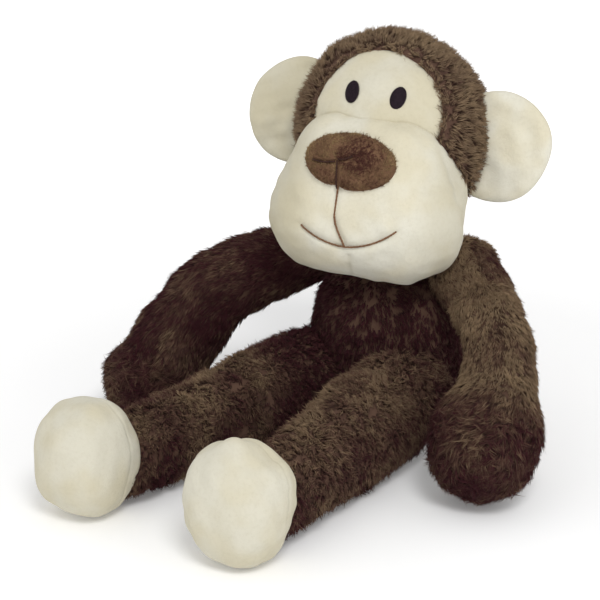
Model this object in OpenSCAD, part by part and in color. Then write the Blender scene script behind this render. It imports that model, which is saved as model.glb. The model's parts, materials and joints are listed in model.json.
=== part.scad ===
// Sitting stuffed monkey, in millimetres.
// It faces -Y, +X is its own left side, +Z is up, and it sits on the plane z = 0.
// Every plush cover is a shell over its own stuffing.
// A limb is a chain of tubes that turn on stuffed balls.

/* [Torso] */
// Widest radius of the torso, just above the seat
torso_r = 46; // [43:1:47]
// Radius of the torso at the shoulders
chest_r = 38; // [36:1:39]
// Height of the top of the torso
torso_h = 124; // [122:1:126]
// Thickness of the brown long-pile plush
plush_wall = 4; // [3:0.5:5]
// Thickness of the cream short-pile plush
velour_wall = 2.5; // [2:0.5:3.5]

/* [Head] */
// Radius of the round head under its pile
head_r = 56; // [52:1:58]
// Height of the head's centre
head_z = 197; // [195:1:201]
// How far the head's centre is in front of the neck
head_forward = 0; // [0:1:4]
// Turn of the head towards the monkey's left, in degrees
head_turn = 16; // [8:1:18]
// Forward nod of the head, in degrees
head_nod = 6; // [2:1:8]
// Tilt of the head towards its left ear, in degrees
head_roll = 4; // [0:1:5]
// Radius of the broad lower muzzle
muzzle_r = 36; // [33:1:38]
// Half the distance between the muzzle's two cheeks
muzzle_half = 24; // [20:1:25]
// Width and height of the nose patch
nose_size = [57, 34]; // [30:1:58]
// Radius of a round ear
ear_r = 35; // [30:1:37]
// Thickness of a padded ear
ear_thick = 13; // [10:1:15]

/* [Arms] */
// Radius of an arm under its pile
arm_r = 18.5; // [17:0.5:19]
// Length from the shoulder to the elbow
upper_arm_l = 80; // [78:1:84]
// Length from the elbow to the middle of the paw
forearm_l = 74; // [72:1:78]
// Widening of the forearm from elbow to wrist
wrist_flare = 5; // [3:0.5:6]
// Radius of the rounded paw
paw_r = 28; // [25:1:29]
// Forward swing, outward raise, elbow twist and elbow bend of the left arm, in degrees
left_arm = [57, 52, -107, 45]; // [-180:1:180]
// The same four angles for the right arm
right_arm = [68, 41, -145, 35]; // [-180:1:180]

/* [Legs] */
// Radius of a leg under its pile
leg_r = 24.5; // [22:0.5:25]
// Length from the hip to the knee
thigh_l = 84; // [80:1:90]
// Length from the knee to the ankle
shin_l = 80; // [76:1:86]
// Outward splay of each leg, in degrees
leg_splay = 6; // [4:1:8]
// Radius of the foot seen from above
foot_r = 30; // [27:1:32]
// Height of the foot
foot_h = 70; // [64:1:74]

/* [Hidden] */
$fn = 72;
hull_fn = 28;
gap = 0.4;              // clearance between pieces on different bodies
layer = 0.2;            // clearance between a cover and its stuffing
eye_size = [9, 12];
stitch_w = 1.4;
stitch_h = 0.9;
neck_r = 20;
neck_z = torso_h + 7;
shoulder = [53, 4, 107];
shoulder_r = arm_r + 0.5;
hip = [35, -38, 27.5];
hip_r = leg_r + 1;
side_seam = 1;          // depth of the torso's side seams, just behind its middle
waist_z = 62;           // the torso narrows above this height
seat_round = 22;        // radius of the torso's lower edge
chest_round = 26;       // and of its shoulders
muzzle_out = 51;        // the cheeks' centres in front of the head's centre
muzzle_drop = 46;       // and below it
bridge = [15, -50, -6]; // centre of either ball of the muzzle's narrow bridge
bridge_r = 28;
nose_at = [-3.8, -60, -4.5]; // the nose is sewn on slightly off the middle
nose_tilt = 16;
nose_lift = 4;          // the nose stands this far out of the muzzle
eye_at = [14.5, 33];    // an eye's distance from the middle, and its height
crease = 0.3;           // extra room round the ball of an elbow or knee
chin_gap = 3.6;          // room between the chin and the torso
ear_clear = 3;          // an ear stops this far outside the head, so that it can fold
face_inset = 1;         // the short pile of the face lies this far below the long pile
face_tilt = 26.5;       // the face patch looks up by this angle
face_cut = 38;          // distance from the head's centre to the face seam's plane
ear_at = [67, 8, -7];   // centre of an ear from the head's centre
hip_rise = 35;          // a leg rises this far from lying flat
elbow_l = 26;           // the forearm widens beyond this distance from the elbow
elbow_fold = 70;        // an elbow folds this far from straight
knee_bends = [-30, 70]; // a knee bends this far up and down from straight
foot_forward = 31;      // centre of the foot in front of the ankle
seam_back = 7;          // the foot's seam lies this far behind its centre
fur = "#4a332b";
cream = "#e2dcc6";
nose_brown = "#5f4534";
stuffing = "#f2f0ea";
thread_dark = "#241826";
thread_brown = "#6b4a34";

SIDES = ["left", "right"];

function pick(side, left, right) = side > 0 ? left : right;
function pose(side) = pick(side, left_arm, right_arm);

// ---- Frames: each one carries its children from a part's own frame to where the part rests ----

module at_head() {
    translate([0, -head_forward, head_z]) rotate([0, 0, head_turn]) rotate([head_nod, head_roll, 0])
        children();
}

// the ear faces its own +Z, and its own +X points away from the head
module at_ear(side) {
    at_head() translate([side * ear_at.x, ear_at.y, ear_at.z]) rotate([90, 0, 0])
        rotate([0, 0, 90 - side * 90]) children();
}

module at_shoulder(side) {
    translate([side * shoulder.x, shoulder.y, shoulder.z]) children();
}

// the arm hangs down its own -Z
module at_arm(side) {
    at_shoulder(side) rotate([-pose(side)[0], 0, 0]) rotate([0, -side * pose(side)[1], 0]) children();
}

module at_elbow(side) {
    at_arm(side) translate([0, 0, -upper_arm_l]) rotate([0, 0, side * pose(side)[2]])
        rotate([-pose(side)[3], 0, 0]) children();
}

// the leg lies along its own -Y
module at_leg(side) {
    translate([side * hip.x, hip.y, hip.z]) rotate([0, 0, side * leg_splay]) children();
}

module at_knee(side) {
    at_leg(side) translate([0, -thigh_l, 0]) children();
}

module at_foot(side) {
    at_knee(side) translate([0, -shin_l, 0]) children();
}

// ---- Plain building shapes ----

// half of space, on the side that the normal of the tilted plane points to
module half_space(tilt) {
    rotate(tilt) translate([-150, -150, 0]) cube([300, 300, 300]);
}

// ---- Torso ----

module torso_outline(inset) {
    translate([torso_r - seat_round, seat_round]) circle(r = seat_round - inset);
    translate([chest_r - chest_round, torso_h - chest_round]) circle(r = chest_round - inset);
    polygon([
        [0, inset], [torso_r - seat_round, inset], [torso_r - inset, seat_round],
        [torso_r - inset, waist_z], [chest_r - inset, torso_h - chest_round],
        [chest_r - chest_round, torso_h - inset], [0, torso_h - inset]]);
}

module torso_form(inset) {
    rotate_extrude() intersection() {
        torso_outline(inset);
        square([torso_r + 1, torso_h + 1]);
    }
}

// the muzzle sweeps this ring of space above the shoulders when the head turns
module chin_room() {
    chin_drop = muzzle_drop * cos(head_nod) + muzzle_out * sin(head_nod);
    chin_out = head_forward + muzzle_out * cos(head_nod) - muzzle_drop * sin(head_nod);
    translate([0, 0, head_z - chin_drop]) rotate_extrude()
        translate([chin_out, 0]) circle(r = muzzle_r + chin_gap);
}

// room for the stuffed balls of the neck, arms and legs, and for the legs to swing up and down
module torso_sockets() {
    r = hip_r + gap;
    reach = 60;
    neck_socket();
    chin_room();
    for (side = [-1, 1]) {
        at_shoulder(side) sphere(r = shoulder_r + gap);
        translate([side * hip.x, hip.y, hip.z]) {
            sphere(r = r);
            rotate([90, 0, 0]) cylinder(r = r, h = reach);
            rotate([180, 0, 0]) cylinder(r = r, h = reach);
            translate([-r, -reach, -reach]) cube([2 * r, reach, reach]);
            rotate([90 - hip_rise, 0, 0]) cylinder(r = r, h = reach + 10);
        }
    }
}

module torso_shell() {
    difference() {
        torso_form(0);
        torso_form(plush_wall);
        torso_sockets();
    }
}

module torso_front_panel() {
    color(fur) intersection() {
        torso_shell();
        translate([0, side_seam - layer / 2, 0]) half_space([90, 0, 0]);
    }
}

module torso_back_panel() {
    color(fur) intersection() {
        torso_shell();
        translate([0, side_seam + layer / 2, 0]) half_space([-90, 0, 0]);
    }
}

module torso_stuffing() {
    color(stuffing) difference() {
        torso_form(plush_wall + layer);
        torso_sockets();
    }
}

// the hand-sewn slit in the middle of the back through which the toy was stuffed
module back_closing_stitch() {
    slit_z = 42;
    slit_l = 46;
    pitch = 6;
    stitch_l = 7;
    slope = (torso_r - chest_r) / (torso_h - chest_round - waist_z);
    color(thread_brown) for (z = [slit_z:pitch:slit_z + slit_l])
        translate([0, torso_r + stitch_h - max(0, z - waist_z) * slope, z])
            rotate([0, 90, 0]) cylinder(r = stitch_w / 2, h = stitch_l, center = true);
}

module neck_ball() {
    color(fur) translate([0, 0, neck_z]) sphere(r = neck_r);
}

// ---- Head ----

// the outer form of the muzzle grown by a margin: broad cheeks below, narrow bridge above
module muzzle_form(margin) {
    hull() for (side = [-1, 1]) {
        translate([side * muzzle_half, -muzzle_out, -muzzle_drop])
            sphere(r = muzzle_r + margin, $fn = hull_fn);
        translate([side * bridge.x, bridge.y, bridge.z]) sphere(r = bridge_r + margin, $fn = hull_fn);
    }
}

module neck_socket() {
    translate([0, 0, neck_z]) sphere(r = neck_r + gap);
}

module head_ball(inset) {
    rotate([90, 0, 0]) sphere(r = head_r - inset);
}

// everything in front of the face seam, moved forward by a margin
module face_side(margin) {
    rotate([90 - face_tilt, 0, 0]) translate([-80, -80, face_cut + margin]) cube([160, 160, 60]);
}

module head_shell(side) {
    color(fur) difference() {
        at_head() difference() {
            head_ball(0);
            head_ball(plush_wall);
            translate([side * layer / 2, 0, 0]) half_space([0, -side * 90, 0]);
            face_side(0);
            muzzle_form(layer);
        }
        neck_socket();
    }
}

module face_panel() {
    color(cream) at_head() difference() {
        intersection() {
            head_ball(face_inset);
            face_side(layer);
        }
        head_ball(plush_wall);
        muzzle_form(layer);
    }
}

module muzzle_cover() {
    color(cream) difference() {
        at_head() difference() {
            muzzle_form(0);
            muzzle_form(-velour_wall);
            head_ball(plush_wall);
        }
        neck_socket();
    }
}

module head_stuffing() {
    color(stuffing) difference() {
        at_head() {
            head_ball(plush_wall + layer);
            muzzle_form(-velour_wall - layer);
        }
        neck_socket();
    }
}

// looks along the nose's own outward direction
module at_nose() {
    translate(nose_at) rotate([90 - nose_tilt, 0, 0]) children();
}

module nose_patch() {
    end_r = nose_size.y / 2;
    color(nose_brown) at_head() difference() {
        intersection() {
            muzzle_form(nose_lift);
            at_nose() linear_extrude(40) hull() for (side = [-1, 1])
                translate([side * (nose_size.x / 2 - end_r), 0]) circle(r = end_r, $fn = hull_fn);
        }
        muzzle_form(layer);
    }
}

module eye(side) {
    lift = (eye_size.y - eye_size.x) / 2;
    color(thread_dark) at_head() difference() {
        intersection() {
            head_ball(face_inset - stitch_h);
            translate([side * eye_at[0], 0, eye_at[1]]) rotate([90, 0, 0]) {
                for (z = [-lift, lift]) translate([0, z, 0]) cylinder(r = eye_size.x / 2, h = 80);
                translate([-eye_size.x / 2, -lift, 0]) cube([eye_size.x, 2 * lift, 80]);
            }
        }
        head_ball(face_inset - layer);
    }
}

// the line of thread that lies on the muzzle wherever its children reach
module on_muzzle() {
    intersection() {
        difference() {
            muzzle_form(stitch_h);
            muzzle_form(layer);
        }
        children();
    }
}

module smile_stitch() {
    smile_r = 50;
    smile_low = -49;
    smile_tilt = 4;
    smile_l = 60;
    rise = 11;
    color(thread_brown) at_head() on_muzzle() rotate([0, -smile_tilt, 0]) intersection() {
        translate([0, 0, smile_low + smile_r]) rotate([90, 0, 0]) difference() {
            cylinder(r = smile_r + stitch_w / 2, h = 120);
            cylinder(r = smile_r - stitch_w / 2, h = 120);
        }
        translate([-smile_l / 2, -120, smile_low - 5]) cube([smile_l, 80, rise + 5]);
    }
}

// the line down from the nose to the smile
module nose_stitch() {
    low_end = [-4, -120, -47.8];
    slant = 9;
    line_l = 31;
    color(thread_brown) at_head() on_muzzle()
        translate(low_end) rotate([0, -slant, 0]) cube([stitch_w, 80, line_l]);
}

// ---- Ears ----

module ear_form(inset) {
    rim = ear_thick / 2;
    rotate_extrude() intersection() {
        union() {
            translate([ear_r - rim, 0]) circle(r = rim - inset);
            translate([0, -rim + inset]) square([ear_r - rim, ear_thick - 2 * inset]);
        }
        translate([0, -rim]) square([ear_r, ear_thick]);
    }
}

// the part of the ear that stays outside the head, with room to fold
module outside_head() {
    difference() {
        children();
        at_head() head_ball(-ear_clear);
    }
}

module ear_skin(side, up) {
    color(cream) outside_head() at_ear(side) intersection() {
        difference() {
            ear_form(0);
            ear_form(velour_wall);
        }
        translate([0, 0, up * layer / 2]) half_space([up > 0 ? 0 : 180, 0, 0]);
    }
}

module ear_wadding(side) {
    inset = velour_wall + layer;
    rim = ear_thick / 2;
    color(stuffing) outside_head() at_ear(side) {
        rotate_extrude() translate([ear_r - rim, 0]) circle(r = rim - inset - layer);
        cylinder(r = ear_r - rim, h = ear_thick - 2 * inset, center = true);
    }
}

// ---- Arms ----

// the space that the forearm takes between straight and fully folded, seen from the upper arm
module elbow_room() {
    r = arm_r + gap;
    sphere(r = r + crease);
    rotate([180 - elbow_fold, 0, 0]) cylinder(r = r, h = 60);
}

module shoulder_ball(side) {
    color(fur) at_shoulder(side) sphere(r = shoulder_r);
}

// a length of the upper arm, hollowed at its ends for the shoulder ball and the elbow
module upper_arm_form(side, r) {
    difference() {
        translate([0, 0, -upper_arm_l]) cylinder(r = r, h = upper_arm_l);
        sphere(r = shoulder_r + gap);
        translate([0, 0, -upper_arm_l]) rotate([0, 0, side * pose(side)[2]]) elbow_room();
    }
}

module upper_arm_cover(side) {
    color(fur) at_arm(side) difference() {
        upper_arm_form(side, arm_r);
        translate([0, 0, -upper_arm_l - arm_r]) cylinder(r = arm_r - plush_wall, h = upper_arm_l + arm_r);
    }
}

module upper_arm_stuffing(side) {
    color(stuffing) at_arm(side) upper_arm_form(side, arm_r - plush_wall - layer);
}

module forearm_form(inset) {
    r = arm_r - inset;
    sphere(r = r);
    translate([0, 0, -elbow_l]) cylinder(r = r, h = elbow_l);
    translate([0, 0, -forearm_l]) {
        cylinder(r1 = r + wrist_flare, r2 = r, h = forearm_l - elbow_l);
        sphere(r = paw_r - inset);
    }
}

module forearm_cover(side) {
    color(fur) at_elbow(side) difference() {
        forearm_form(0);
        forearm_form(plush_wall);
    }
}

module forearm_stuffing(side) {
    color(stuffing) at_elbow(side) forearm_form(plush_wall + layer);
}

// ---- Legs ----

module hip_ball(side) {
    color(fur) translate([side * hip.x, hip.y, hip.z]) sphere(r = hip_r);
}

// the space that the shin takes between its two limits, seen from the thigh
module knee_room() {
    r = leg_r + gap;
    sphere(r = r + crease);
    for (bend = knee_bends) rotate([90 + bend, 0, 0]) cylinder(r = r, h = 60);
}

// a length of the thigh, hollowed at its ends for the hip ball and the knee
module thigh_form(r) {
    difference() {
        rotate([90, 0, 0]) cylinder(r = r, h = thigh_l);
        sphere(r = hip_r + gap);
        translate([0, -thigh_l, 0]) knee_room();
    }
}

module thigh_cover(side) {
    color(fur) at_leg(side) difference() {
        thigh_form(leg_r);
        rotate([90, 0, 0]) cylinder(r = leg_r - plush_wall, h = thigh_l + leg_r);
    }
}

module thigh_stuffing(side) {
    color(stuffing) at_leg(side) thigh_form(leg_r - plush_wall - layer);
}

module shin_form(inset) {
    sphere(r = leg_r - inset);
    rotate([90, 0, 0]) cylinder(r = leg_r - inset, h = shin_l);
    translate([0, -shin_l, 0]) sphere(r = leg_r - inset);
}

module shin_cover(side) {
    color(fur) at_knee(side) difference() {
        shin_form(0);
        shin_form(plush_wall);
    }
}

module shin_stuffing(side) {
    color(stuffing) at_knee(side) shin_form(plush_wall + layer);
}

// the foot stands on the floor in front of the ankle
module foot_form(inset) {
    translate([0, -foot_forward, -hip.z]) {
        translate([0, 0, foot_r]) sphere(r = foot_r - inset);
        translate([0, 0, foot_r]) cylinder(r = foot_r - inset, h = foot_h - 2 * foot_r);
        translate([0, 0, foot_h - foot_r]) sphere(r = foot_r - inset);
    }
}

module foot_shell() {
    difference() {
        foot_form(0);
        foot_form(velour_wall);
        sphere(r = leg_r + gap);
    }
}

module foot_sole(side) {
    color(cream) at_foot(side) intersection() {
        foot_shell();
        translate([0, seam_back - foot_forward, 0]) half_space([90, 0, 0]);
    }
}

module foot_instep(side) {
    color(cream) at_foot(side) intersection() {
        foot_shell();
        translate([0, seam_back - foot_forward + layer, 0]) half_space([-90, 0, 0]);
    }
}

module foot_stuffing(side) {
    color(stuffing) at_foot(side) difference() {
        foot_form(velour_wall + layer);
        sphere(r = leg_r + gap);
    }
}

torso_front_panel();
torso_back_panel();
torso_stuffing();
back_closing_stitch();
neck_ball();
head_shell(1);  // head_panel_left
head_shell(-1);  // head_panel_right
face_panel();
muzzle_cover();
head_stuffing();
nose_patch();
eye(1);  // eye_left
eye(-1);  // eye_right
smile_stitch();
nose_stitch();
for (side = [1, -1]) {
    name = pick(side, "left", "right");
    ear_skin(side, 1);
    ear_skin(side, -1);
    ear_wadding(side);
    shoulder_ball(side);
    upper_arm_cover(side);
    upper_arm_stuffing(side);
    forearm_cover(side);
    forearm_stuffing(side);
    hip_ball(side);
    thigh_cover(side);
    thigh_stuffing(side);
    shin_cover(side);
    shin_stuffing(side);
    foot_sole(side);
    foot_instep(side);
    foot_stuffing(side);
}
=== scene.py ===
import json
import math
import bpy
import numpy as np
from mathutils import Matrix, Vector


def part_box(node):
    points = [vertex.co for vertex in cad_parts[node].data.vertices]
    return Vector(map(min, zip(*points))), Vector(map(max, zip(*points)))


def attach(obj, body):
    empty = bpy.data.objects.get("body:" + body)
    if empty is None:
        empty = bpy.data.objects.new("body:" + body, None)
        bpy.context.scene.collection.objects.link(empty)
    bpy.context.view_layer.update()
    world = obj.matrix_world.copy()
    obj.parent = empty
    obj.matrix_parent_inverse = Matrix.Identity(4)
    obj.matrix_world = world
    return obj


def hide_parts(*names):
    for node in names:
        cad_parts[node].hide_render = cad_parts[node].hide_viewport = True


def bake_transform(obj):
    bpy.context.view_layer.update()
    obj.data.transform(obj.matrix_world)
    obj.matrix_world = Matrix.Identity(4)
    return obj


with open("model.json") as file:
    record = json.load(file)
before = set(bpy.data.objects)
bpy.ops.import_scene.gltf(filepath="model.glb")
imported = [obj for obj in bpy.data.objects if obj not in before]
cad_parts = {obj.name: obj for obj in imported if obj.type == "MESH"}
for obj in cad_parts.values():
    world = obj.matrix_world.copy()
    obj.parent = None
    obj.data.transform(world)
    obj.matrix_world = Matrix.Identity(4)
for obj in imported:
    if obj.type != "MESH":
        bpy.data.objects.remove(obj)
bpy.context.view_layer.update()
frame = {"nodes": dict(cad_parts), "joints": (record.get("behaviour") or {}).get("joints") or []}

# Shapes are worked out in millimetres in the row's frame and become metres when a mesh is made.
MM = 0.001
FLOOR = 0.4          # nothing reaches below this height
SIDES = (("left", 1), ("right", -1))     # the toy's own sides, and the sign of x there
NOISE_WAVES = 24
STRAND_POINTS = 7    # three at the foot of a strand of pile, three half way, one at the tip
JOINTS = {joint["name"]: joint for joint in frame["joints"]}


# ---- objects and the camera

def add_object(name, data):
    thing = bpy.data.objects.new(name, data)
    bpy.context.scene.collection.objects.link(thing)
    return thing


def make_camera():
    """The viewing angle: 36.5 degrees to the toy's left of straight ahead and 17.6 degrees above."""
    azimuth = math.radians(36.5)
    elevation = math.radians(17.6)
    distance = 1.08
    target = Vector((-0.0142, -0.081, 0.0988))
    back = Vector((math.sin(azimuth) * math.cos(elevation),
                   -math.cos(azimuth) * math.cos(elevation),
                   math.sin(elevation)))
    data = bpy.data.cameras.new("camera")
    data.sensor_width = 36
    data.lens = 104.4
    camera = add_object("camera", data)
    camera.location = target + back * distance
    camera.rotation_euler = back.to_track_quat("Z", "Y").to_euler()
    bpy.context.scene.camera = camera


make_camera()


# ---- small vector helpers

def unit(v):
    return v / np.maximum(np.linalg.norm(v, axis=-1, keepdims=True), 1e-9)


def full_turn(count):
    return np.linspace(0, 2 * math.pi, count, endpoint=False)


def smooth_step(low, high, x):
    t = np.clip((x - low) / (high - low), 0, 1)
    return t * t * (3 - 2 * t)


def waves(points, size, seed):
    """A smooth noise between about -1 and 1, with lumps about size mm across."""
    rng = np.random.default_rng(seed)
    directions = unit(rng.normal(size=(NOISE_WAVES, 3)))
    lengths = size * rng.uniform(1.4, 3.2, NOISE_WAVES)
    phases = rng.uniform(0, 2 * math.pi, NOISE_WAVES)
    angle = points @ (directions / lengths[:, None] * 2 * math.pi).T + phases
    return np.sin(angle).sum(-1) / math.sqrt(NOISE_WAVES)


def joint_place(name):
    return np.array(JOINTS[name]["pos_m"]) / MM


def joint_axis(name):
    return np.array(JOINTS[name]["axis"])


# ---- the head's own frame

HEAD_R = 56
EAR_HINGE = np.array([0, 8, -7])   # middle of the two ear hinges, from the head's centre
head_x = joint_axis("head_nod")
head_z = joint_axis("ear_fold_left")
head_x = unit(head_x - head_z * (head_x @ head_z))
HEAD_TURN = np.column_stack([head_x, np.cross(head_z, head_x), head_z])
HEAD_AT = (joint_place("ear_fold_left") + joint_place("ear_fold_right")) / 2 - HEAD_TURN @ EAR_HINGE


def from_head(points):
    """Points in the head's frame (x to its left, -y forward, z up) to the row's frame."""
    return points @ HEAD_TURN.T + HEAD_AT


def to_head(points):
    return (points - HEAD_AT) @ HEAD_TURN


# ---- meshes

def grid_faces(rows, columns):
    """Quads between neighbouring rings of points."""
    row, column = np.meshgrid(np.arange(rows - 1), np.arange(columns), indexing="ij")
    after = (column + 1) % columns
    faces = np.stack([row * columns + column, row * columns + after,
                      (row + 1) * columns + after, (row + 1) * columns + column], -1)
    return faces.reshape(-1, 4)


def make_mesh(name, points, face_sets, attributes=None, uv=None):
    """An object from points in mm and arrays of triangles and quads, all shaded smooth."""
    mesh = bpy.data.meshes.new(name)
    loops = np.concatenate([faces.reshape(-1) for faces in face_sets]).astype(np.int32)
    sizes = np.concatenate([np.full(len(faces), faces.shape[1]) for faces in face_sets])
    starts = np.concatenate([[0], np.cumsum(sizes)[:-1]])
    mesh.vertices.add(len(points))
    mesh.vertices.foreach_set("co", (points * MM).astype(np.float32).reshape(-1))
    mesh.loops.add(len(loops))
    mesh.loops.foreach_set("vertex_index", loops)
    mesh.polygons.add(len(sizes))
    mesh.polygons.foreach_set("loop_start", starts.astype(np.int32))
    mesh.polygons.foreach_set("use_smooth", np.ones(len(sizes), bool))
    mesh.update(calc_edges=True)
    for key, values in (attributes or {}).items():
        mesh.attributes.new(key, "FLOAT", "POINT").data.foreach_set("value", values.astype(np.float32))
    if uv is not None:
        layer = mesh.uv_layers.new(name="OFBake")
        layer.data.foreach_set("uv", uv[loops].astype(np.float32).reshape(-1))
    return add_object(name, mesh)


def place(piece, body, slot, material, fill, *nodes):
    """Gives a piece its material; slot is not used. It lets the piece ride on its body, or fixes it where it
    is when it lies between two bodies, and hides the nodes it stands for."""
    piece.data.materials.append(material)
    if isinstance(body, str):
        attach(piece, body)
    else:
        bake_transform(piece)
    if nodes:
        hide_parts(*nodes)


def closed_skin(rings):
    """Points, outward normals, triangles and quads of a closed form, whose first and last rings become
    points."""
    rows, columns = rings.shape[:2]
    ends = rings[[0, -1]].mean(1)
    inward = rings[[3, -4]].mean(1)
    points = np.concatenate([ends[:1], rings[1:-1].reshape(-1, 3), ends[1:]])
    normals = np.concatenate([unit(ends - inward)[:1], ring_normals(rings)[1:-1].reshape(-1, 3),
                              unit(ends - inward)[1:]])
    quads = grid_faces(rows - 2, columns) + 1
    here = np.arange(columns)
    after = (here + 1) % columns
    last = len(points) - 1
    ring = last - columns
    triangles = np.concatenate([np.stack([0 * here, 1 + after, 1 + here], -1),
                                np.stack([0 * here + last, ring + here, ring + after], -1)])
    a, b, c, d = (points[quads[:, k]] - points.mean(0) for k in range(4))
    if (np.cross(a, b) * c).sum() + (np.cross(a, c) * d).sum() < 0:
        quads = quads[:, ::-1]
        triangles = triangles[:, ::-1]
    return points, normals, triangles, quads


def ring_normals(rings):
    """Outward normals of a closed grid of shape rows x columns x 3 whose first and last rows are poles."""
    around = np.roll(rings, -1, 1) - np.roll(rings, 1, 1)
    along = np.gradient(rings, axis=0)
    normals = np.cross(around, along)
    normals[0] = rings[0] - rings[2].mean(0)
    normals[-1] = rings[-1] - rings[-3].mean(0)
    middle = rings.mean(1, keepdims=True)
    flip = np.sign(((rings - middle) * normals)[2:-2].sum())
    normals[1:-1] *= flip
    return unit(normals)


def lumpy(rings, height, size, seed):
    """Rings moved in and out by a smooth noise, as stuffing does to a skin."""
    rise = waves(rings.reshape(-1, 3), size, seed) * height
    return rings + ring_normals(rings) * rise.reshape(rings.shape[:2] + (1,))


# ---- materials

def new_material(name):
    material = bpy.data.materials.new(name)
    material.use_nodes = True
    return material, material.node_tree, material.node_tree.nodes["Principled BSDF"]


def set_inputs(node, **inputs):
    """Sets a node's inputs by name, with _ for each space."""
    for key, value in inputs.items():
        node.inputs[key.replace("_", " ")].default_value = value


def add_node(tree, kind, **inputs):
    node = tree.nodes.new(kind)
    set_inputs(node, **inputs)
    return node


def mix_colours(tree, factor, first, second):
    """A Mix node for colours; first and second are colours or sockets."""
    node = tree.nodes.new("ShaderNodeMix")
    node.data_type = "RGBA"
    for socket, value in ((node.inputs[0], factor), (node.inputs[6], first), (node.inputs[7], second)):
        if isinstance(value, bpy.types.NodeSocket):
            tree.links.new(value, socket)
        else:
            socket.default_value = value if isinstance(value, float) else (*value, 1)
    return node.outputs[2]


def attribute(tree, name):
    node = tree.nodes.new("ShaderNodeAttribute")
    node.attribute_name = name
    return node.outputs["Fac"]


def smooth_factor(tree, value, low, high):
    """A socket that rises smoothly from 0 to 1 as value goes from low to high."""
    node = add_node(tree, "ShaderNodeMapRange", From_Min=low, From_Max=high)
    node.interpolation_type = "SMOOTHSTEP"
    tree.links.new(value, node.inputs["Value"])
    return node.outputs["Result"]


def noise(tree, scale, detail=3.0, roughness=0.6):
    coordinates = tree.nodes.new("ShaderNodeTexCoord")
    node = add_node(tree, "ShaderNodeTexNoise", Scale=scale, Detail=detail, Roughness=roughness)
    tree.links.new(coordinates.outputs["Object"], node.inputs["Vector"])
    return node.outputs["Fac"]


def bump(tree, shader, height, distance, strength):
    node = add_node(tree, "ShaderNodeBump", Strength=strength, Distance=distance)
    tree.links.new(height, node.inputs["Height"])
    tree.links.new(node.outputs["Normal"], shader.inputs["Normal"])


def pile_material(name, root, tip_warm, tip_pale):
    """Fibres that are dark at the root, and at the tip either warm or pale by each tuft's tone, which holds
    random differences and, on some pieces, painted light and shade.
    """
    material, tree, shader = new_material(name)
    tip = mix_colours(tree, smooth_factor(tree, attribute(tree, "tone"), 0.0, 1.0), tip_warm, tip_pale)
    colour = mix_colours(tree, smooth_factor(tree, attribute(tree, "along"), 0.0, 0.8), root, tip)
    colour = mix_colours(tree, smooth_factor(tree, noise(tree, 90.0), 0.35, 0.7), colour,
                         mix_colours(tree, 0.3, colour, root))
    tree.links.new(colour, shader.inputs["Base Color"])
    set_inputs(shader, Roughness=0.85, Specular_IOR_Level=0.06, Sheen_Weight=0.03, Sheen_Roughness=0.45,
               Sheen_Tint=(0.75, 0.62, 0.5, 1))
    return material


def velour_material(name, pale, warm, shade):
    """Short cream pile: cloudy warm and pale areas, a fine mottle and a fine nap. Its attribute shade paints
    shade into the colour, darker and yellower as it nears 1: in creases and where the pile lies away from the
    light."""
    material, tree, shader = new_material(name)
    colour = mix_colours(tree, smooth_factor(tree, noise(tree, 26.0, 2.0), 0.36, 0.64), pale, warm)
    colour = mix_colours(tree, smooth_factor(tree, noise(tree, 420.0, 4.0, 0.7), 0.42, 0.75), colour,
                         mix_colours(tree, 0.15, colour, shade))
    # Painted shade, as strong as the attribute shade.
    colour = mix_colours(tree, smooth_factor(tree, attribute(tree, "shade"), 0.0, 1.0), colour,
                         mix_colours(tree, 0.6, colour, shade))
    tree.links.new(colour, shader.inputs["Base Color"])
    set_inputs(shader, Roughness=0.92, Specular_IOR_Level=0.1, Sheen_Weight=0.05, Sheen_Roughness=0.5)
    bump(tree, shader, noise(tree, 520.0, 6.0, 0.8), 0.0011, 0.5)
    return material


def thread_material(name, dark, light, roughness):
    """Stitched thread with a little difference from strand to strand."""
    material, tree, shader = new_material(name)
    colour = mix_colours(tree, smooth_factor(tree, noise(tree, 700.0), 0.3, 0.7), dark, light)
    tree.links.new(colour, shader.inputs["Base Color"])
    set_inputs(shader, Roughness=roughness, Specular_IOR_Level=0.2)
    bump(tree, shader, noise(tree, 3000.0), 0.0002, 0.4)
    return material


PLUSH = pile_material("brown_plush", (0.026, 0.008, 0.011), (0.07, 0.02, 0.025), (0.35, 0.245, 0.145))
NOSE_PILE = pile_material("nose_plush", (0.07, 0.032, 0.02), (0.1, 0.036, 0.03), (0.42, 0.29, 0.14))
VELOUR = velour_material("cream_velour", (0.74, 0.715, 0.61), (0.69, 0.64, 0.49), (0.42, 0.375, 0.25))
EYE_THREAD = thread_material("eye_thread", (0.006, 0.002, 0.005), (0.016, 0.006, 0.013), 0.6)
LINE_THREAD = thread_material("brown_thread", (0.13, 0.06, 0.03), (0.24, 0.13, 0.07), 0.75)
DARK_THREAD = thread_material("dark_thread", (0.025, 0.01, 0.007), (0.05, 0.02, 0.014), 0.75)


# ---- long pile

SKIN_MARGIN = 3.0    # the skin of a pile-covered piece runs on this far past its pile


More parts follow.
